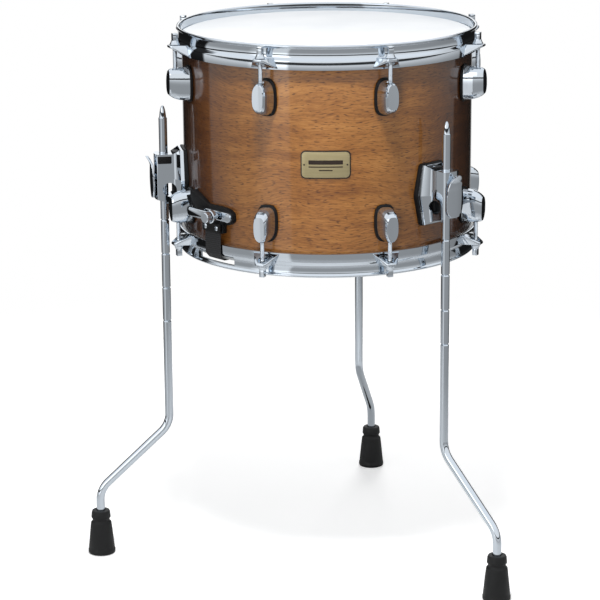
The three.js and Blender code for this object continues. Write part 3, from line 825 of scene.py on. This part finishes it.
def makeLeg(side):
    r = leg["radius"]
    rise = leg["kneeUpper"] - leg["kneeLower"]
    run = leg["foot"] - leg["circle"]
    slope = math.atan2(run, rise)
    reach = leg["bend"] * math.tan(slope / 2)
    straightEnd = leg["kneeUpper"] + reach
    profile = [(0, leg["top"]), (1.1, leg["top"] - 0.5), (2.1, leg["top"] - 2), (3.0, leg["top"] - 5),
               (3.8, leg["top"] - 9.5), (4.3, leg["top"] - 14.6), (r, leg["top"] - 15.6)]
    for height in leg["notches"]:
        profile += [(r, height + 1.3), (r - 1.0, height + 0.15), (r - 1.0, height - 0.15), (r, height - 1.3)]
    profile += [(r, straightEnd)]
    bm = turned(profile, leg["steps"])
    rim = [edge for edge in bm.edges if edge.is_boundary]

    def lengthened(edges, offset):
        geometry = bmesh.ops.extrude_edge_only(bm, edges=edges)["geom"]
        verts = [item for item in geometry if isinstance(item, bmesh.types.BMVert)]
        bmesh.ops.translate(bm, verts=verts, vec=offset)
        return [item for item in geometry if isinstance(item, bmesh.types.BMEdge)
                and all(vert in verts for vert in item.verts)]

    def bent(edges, centre, angle):
        geometry = bmesh.ops.spin(bm, geom=edges, cent=centre, axis=(0, 1, 0), dvec=(0, 0, 0),
                                  angle=angle, steps=12, use_merge=False, use_duplicate=False)["geom_last"]
        return [item for item in geometry if isinstance(item, bmesh.types.BMEdge)]

    rim = bent(rim, (leg["bend"], 0, straightEnd), -slope)
    length = math.hypot(rise, run) - 2 * reach
    rim = lengthened(rim, (math.sin(slope) * length, 0, -math.cos(slope) * length))
    low = leg["kneeLower"] - reach
    rim = bent(rim, (run - leg["bend"], 0, low), slope)
    rim = lengthened(rim, (0, 0, leg["end"] - low))
    bmesh.ops.contextual_create(bm, geom=rim)
    bmesh.ops.remove_doubles(bm, verts=bm.verts, dist=0.001)
    bmesh.ops.recalc_face_normals(bm, faces=bm.faces)
    piece(f"{side}LegRod", shifted(bm, x=leg["circle"]), [chrome], f"leg_{side}",
          [f"leg_rod_{side}"], facing(legAzimuths[side]), crease=20)


foot = {"bore": 5.6}


def makeFoot(side):
    profile = [(0, 0), (15.4, 0), (16.6, 0.5), (17.2, 1.6), (17.2, 5), (16.6, 6.2), (16.4, 9), (13.4, 38),
               (12.9, 41), (11.2, 42.6), (10.7, 44.4), (11.1, 46.4), (12.2, 47.4), (12.2, 49), (11.7, 54.6),
               (10.8, 56.6), (9.4, 57), (foot["bore"] + 0.6, 57), (foot["bore"], 56.4), (foot["bore"], 21.4),
               (0, 21.4)]
    body = turned(profile, 56)
    piece(f"{side}Foot", shifted(body, x=leg["foot"]), [rubber], f"leg_{side}",
          [f"rubber_foot_{side}"], facing(legAzimuths[side]), crease=35)


strainer = {"strapFace": 185.8, "strap": 0.7, "strapHalf": 14, "leverLength": 44, "snareEnd": 148}


def snareBase(left, right, outline=None):
    z = leverHeight
    face = strainer["strapFace"] - 0.4
    bar = plate(rectangle((left, right), (z - 6, z + 6)), 172, face, corner=5.6, soft=1.0)
    tongue = plate(rectangle((-16, 16), (z - 21, z - 4)), 172, face - 0.1, corner=1.5, soft=0.5)
    outline = outline or rectangle((left - 1.4, right + 1.4), (z - 7.4, z + 7.4))
    seal = plate(outline, 160, 182.2, corner=3, soft=0.4)
    return [painted(carved(bar, shellRoom(0.9)), 0), painted(carved(tongue, shellRoom(0.9)), 1),
            painted(carved(seal, shellRoom()), 1)]


def screwHead(y, z, low, radius=3.0, rise=2.6):
    dome = turned([(0, low), (radius, low), (radius, low + rise * 0.5), (radius * 0.7, low + rise * 0.9),
                   (0, low + rise)], 28)
    slot = block((-radius - 1, radius + 1), (-0.35, 0.35), (low + rise * 0.5, low + rise + 1))
    return shifted(outward(carved(dome, slot)), y=y, z=z)


def strapClamp():
    inner = strainer["strapFace"] + strainer["strap"] + 0.4
    z = leverHeight
    jaw = plate(rectangle((-16, 16), (z - 20, z - 8.5)), inner, inner + 2.6, corner=2, soft=0.5)
    screws = [painted(screwHead(y, z - 14.2, inner + 2.2, 3, 1.7), 1) for y in (-10, 10)]
    return gathered(jaw, *screws)


def makeStrainer():
    at = facing(strainerAzimuth)
    pin = shifted(outward(cylinder(3.2, 182, 196.4, 28, soft=0.4)), y=pivotOffset, z=leverHeight)
    # the black plate under the base reaches up to the left: that arm is a painted dark reflection in the
    # shell's lacquer, not a real part
    outline = [(-47, 24), (-23, 16), (-14, 10.5), (9, 11.5), (24, 10), (31, 5), (31, -5), (25, -9.5),
               (-21, -10), (-35, -3), (-47, 15)]
    outline = [(y, leverHeight + z) for y, z in outline]
    base = gathered(*snareBase(-19, 30, outline), painted(pin, 0))
    piece("strainerBase", base, [chrome, gasket], "root", ["strainer_base"], at, crease=28)
    piece("strainerClamp", strapClamp(), [gasket, chrome], "clamp", ["strainer_clamp"],
          at, crease=28)
    arm = plate(rectangle((-strainer["leverLength"], 4), (-5.4, 5.4)), 191, 194.2, corner=4.8, soft=0.9)
    hub = outward(turned([(3.5, 191), (8, 191), (8, 195), (7.2, 196), (3.5, 196)], 40, closed=True))
    lever = gathered(carved(arm, outward(cylinder(6, 188, 199, 32))), hub)
    piece("throwOffLever", shifted(lever, y=pivotOffset, z=leverHeight), [chrome], "lever",
          ["throw_off_lever"], at, crease=28)
    grip = turned([(0, 196.8), (6, 196.8), (6.6, 197.4), (6.6, 202.6), (5.8, 203.8), (0, 204)], 40)
    flutes = []
    for index in range(16):
        flute = shifted(cylinder(0.55, 196, 203, 10), x=6.75)
        flutes.append(moved(flute, Matrix.Rotation(math.tau * index / 16, 4, "Z")))
    knob = shifted(outward(carved(grip, *flutes)), y=pivotOffset, z=leverHeight)
    piece("tensionKnob", knob, [chrome], "knob", ["strainer_knob"], at, crease=28)


def makeStrap(name, node, azimuth):
    low = shellBottom - 1.1
    face = strainer["strapFace"]
    thick = strainer["strap"]
    end = strainer["snareEnd"] + gap
    path = [(face, leverHeight - 8), (face, low + 8.3), (face - 1.6, low + 4.6), (179.9, low), (end, low),
            (end, low - thick), (180.3, low - thick), (face + thick - 1.4, low + 4),
            (face + thick, low + 7.6), (face + thick, leverHeight - 8)]
    bm = plate([(x, z) for x, z in path], -strainer["strapHalf"], strainer["strapHalf"])
    bm = moved(bm, Matrix(((0, 1, 0, 0), (1, 0, 0, 0), (0, 0, 1, 0), (0, 0, 0, 1))))
    piece(name, bm, [webbing], "root", [node], facing(azimuth), crease=40)


def makeButt():
    at = facing(strainerAzimuth + 180)
    piece("buttBase", gathered(*snareBase(-24, 24)), [chrome, gasket], "root",
          ["butt_base"], at, crease=28)
    piece("buttClamp", strapClamp(), [gasket, chrome], "root", ["butt_clamp"], at,
          crease=28)


wires = {"count": 20, "pitch": 3.6, "radius": 0.75, "width": 40, "end": 148, "plate": 14}


def makeWires():
    top = shellBottom - 1.1
    centre = top - 0.8
    half = wires["width"] / 2
    reach = wires["end"] - wires["plate"]
    plates = []
    for side in (-1, 1):
        span = sorted((side * reach, side * wires["end"]))
        plates.append(block(span, (-half, half), (top - 1.6, top), soft=0.3))
    turns = int(2 * reach / wires["pitch"])
    coil = bmesh.new()
    ring = Matrix.Translation((-reach, 0, centre + wires["radius"] * 0.6))
    bmesh.ops.create_circle(coil, cap_ends=False, segments=5, radius=0.28,
                            matrix=ring @ Matrix.Rotation(math.pi / 2, 4, "Y"))
    steps = turns * 8
    bmesh.ops.spin(coil, geom=coil.edges[:], cent=(0, 0, centre), axis=(1, 0, 0),
                   dvec=(2 * reach / steps, 0, 0), angle=math.tau * turns, steps=steps,
                   use_merge=False, use_duplicate=False)
    coils = []
    for index in range(wires["count"]):
        y = -half + 1 + (wires["width"] - 2) * index / (wires["count"] - 1)
        coils.append(shifted(coil.copy(), y=y))
    coil.free()
    piece("snareWires", gathered(*plates, *coils), [wire], "root", ["snare_wires"],
          facing(strainerAzimuth), crease=40)


makeShell()
makeVent()
makeBadge()
makeHead("batterHead", "batter_head", coated, False)
makeHead("resonantHead", "resonant_head", hazy, True)
print("shell and heads made")
makeHoop("batterHoop", "batter_hoop", False)
makeHoop("resonantHoop", "resonant_hoop", True)
print("hoops made")
makeFasteners()
print("lugs and rods made")
for side in sides:
    makeBracket(side)
    makeWing(side)
    makeLeg(side)
    makeFoot(side)
print("legs made")
makeStrainer()
makeStrap("strainerStrap", "strainer_strap", strainerAzimuth)
makeStrap("buttStrap", "butt_strap", strainerAzimuth + 180)
makeButt()
makeWires()
print("strainer and wires made")


def makeFloor():
    bm = bmesh.new()
    bmesh.ops.create_circle(bm, cap_ends=True, segments=128, radius=1.5)
    mesh = bpy.data.meshes.new("studioFloor")
    bm.to_mesh(mesh)
    bm.free()
    floor = bpy.data.objects.new("studioFloor", mesh)
    bpy.context.collection.objects.link(floor)
    floor.location = (0, 0, -0.0005)
    material, tree, shader = newMaterial("palePaper", color=linear("#f4f4f4"), roughness=0.9, specular=0.1)
    place = addNode(tree, "ShaderNodeTexCoord").outputs["Object"]
    distance = addNode(tree, "ShaderNodeVectorMath", {0: place}, operation="LENGTH").outputs["Value"]
    fade = addNode(tree, "ShaderNodeMapRange", {"Value": distance, "From Min": 0.4, "From Max": 1.2},
                   interpolation_type="SMOOTHSTEP").outputs["Result"]
    clear = addNode(tree, "ShaderNodeBsdfTransparent")
    seen = addNode(tree, "ShaderNodeLightPath").outputs["Is Camera Ray"]
    shader.inputs["Emission Color"].default_value = (1, 1, 1, 1)
    tree.links.new(maths(tree, "MULTIPLY", seen, 0.5), shader.inputs["Emission Strength"])
    mixed = addNode(tree, "ShaderNodeMixShader", {0: fade, 1: shader.outputs[0], 2: clear.outputs[0]})
    output = next(node for node in tree.nodes if node.type == "OUTPUT_MATERIAL")
    tree.links.new(mixed.outputs[0], output.inputs["Surface"])
    mesh.materials.append(material)


def makeSurroundings():
    # a light tent in front with a brighter panel on its left, black flags beside a strip at the back
    world = bpy.data.worlds.new("studio")
    bpy.context.scene.world = world
    world.use_nodes = True
    tree = world.node_tree
    tree.nodes.clear()
    direction = addNode(tree, "ShaderNodeTexCoord").outputs["Generated"]
    split = addNode(tree, "ShaderNodeSeparateXYZ", {0: direction})
    angle = maths(tree, "ARCTAN2", split.outputs["X"], maths(tree, "MULTIPLY", split.outputs["Y"], -1.0))
    turn = addNode(tree, "ShaderNodeMapRange", {"Value": angle, "From Min": -math.pi, "From Max": math.pi})

    def at(azimuth):
        return (azimuth + 180) / 360

    stops = [(0, 0.45), (at(-166), 0.45), (at(-164), 0.01), (at(-106), 0.01), (at(-104.5), 0.42),
             (at(-62), 0.4), (at(-50), 0.85),
             (at(-30), 0.9), (at(-28.5), 0.4), (at(30), 0.4), (at(90), 0.36), (at(118), 0.3),
             (at(119.5), 0.01), (at(164), 0.01), (at(166), 0.45), (1, 0.45)]
    panels = ramp(tree, turn.outputs["Result"], stops)
    up = split.outputs["Z"]
    overhead = addNode(tree, "ShaderNodeMapRange", {"Value": up, "From Min": 0.45, "From Max": 0.6},
                       interpolation_type="SMOOTHSTEP").outputs["Result"]
    # the panels are brighter above the horizon, where tilted facets look
    climb = addNode(tree, "ShaderNodeMapRange", {"Value": up, "From Min": -0.2, "From Max": 0.12,
                                                 "To Min": 1.0, "To Max": 2.7},
                    interpolation_type="SMOOTHSTEP").outputs["Result"]
    # a dark gap over the panels draws thin lines in the fillets and at the tops of the lugs
    offset = maths(tree, "ABSOLUTE", maths(tree, "SUBTRACT", up, 0.07))
    gapShare = addNode(tree, "ShaderNodeMapRange", {"Value": offset, "From Min": 0.035, "From Max": 0.06,
                                                    "To Min": 0.04, "To Max": 1.0}).outputs["Result"]
    strength = maths(tree, "MULTIPLY", climb, gapShare)
    raised = addNode(tree, "ShaderNodeVectorMath", {0: panels, "Scale": strength}, operation="SCALE")
    surround = addNode(tree, "ShaderNodeMix", {"Factor": overhead, "A": raised.outputs[0],
                                               "B": (1.1, 1.12, 1.15, 1)}, data_type="RGBA")
    rays = addNode(tree, "ShaderNodeLightPath")
    soft = maths(tree, "SUBTRACT", 1.0, maths(tree, "MULTIPLY", rays.outputs["Is Diffuse Ray"], 0.88))
    lit = addNode(tree, "ShaderNodeBackground", {"Color": surround.outputs["Result"], "Strength": soft})
    paper = addNode(tree, "ShaderNodeBackground", {"Color": (1, 1, 1, 1), "Strength": 1.0})
    both = addNode(tree, "ShaderNodeMixShader", {0: rays.outputs["Is Camera Ray"], 1: lit.outputs[0],
                                                 2: paper.outputs[0]})
    addNode(tree, "ShaderNodeOutputWorld", {"Surface": both.outputs[0]})


def makeLamp(name, spot, aim, size, power):
    # a soft lamp that lights the object without showing in its gloss
    lamp = bpy.data.lights.new(name, "AREA")
    lamp.shape = "RECTANGLE"
    lamp.size, lamp.size_y = size
    lamp.energy = power
    made = bpy.data.objects.new(name, lamp)
    bpy.context.collection.objects.link(made)
    made.location = axis + Vector(spot)
    made.rotation_euler = (Vector(aim) - Vector(spot)).to_track_quat("-Z", "Y").to_euler()
    made.visible_glossy = False
    made.visible_camera = False
    return made


makeFloor()
makeSurroundings()
makeLamp("frontStrip", (-0.05, -0.62, 0.42), (0, 0, 0.47), (0.14, 0.4), 1.4)
makeLamp("highKey", (-0.08, -0.7, 1.75), (0, 0, 0.5), (0.25, 0.25), 17)
makeLamp("overheadBox", (0, 0, 2.2), (0, 0, 0.6), (0.6, 0.6), 2.2)
makeLamp("backFill", (0.15, 1.3, 0.6), (0, 0, 0.5), (0.5, 0.5), 8)
print("studio made")
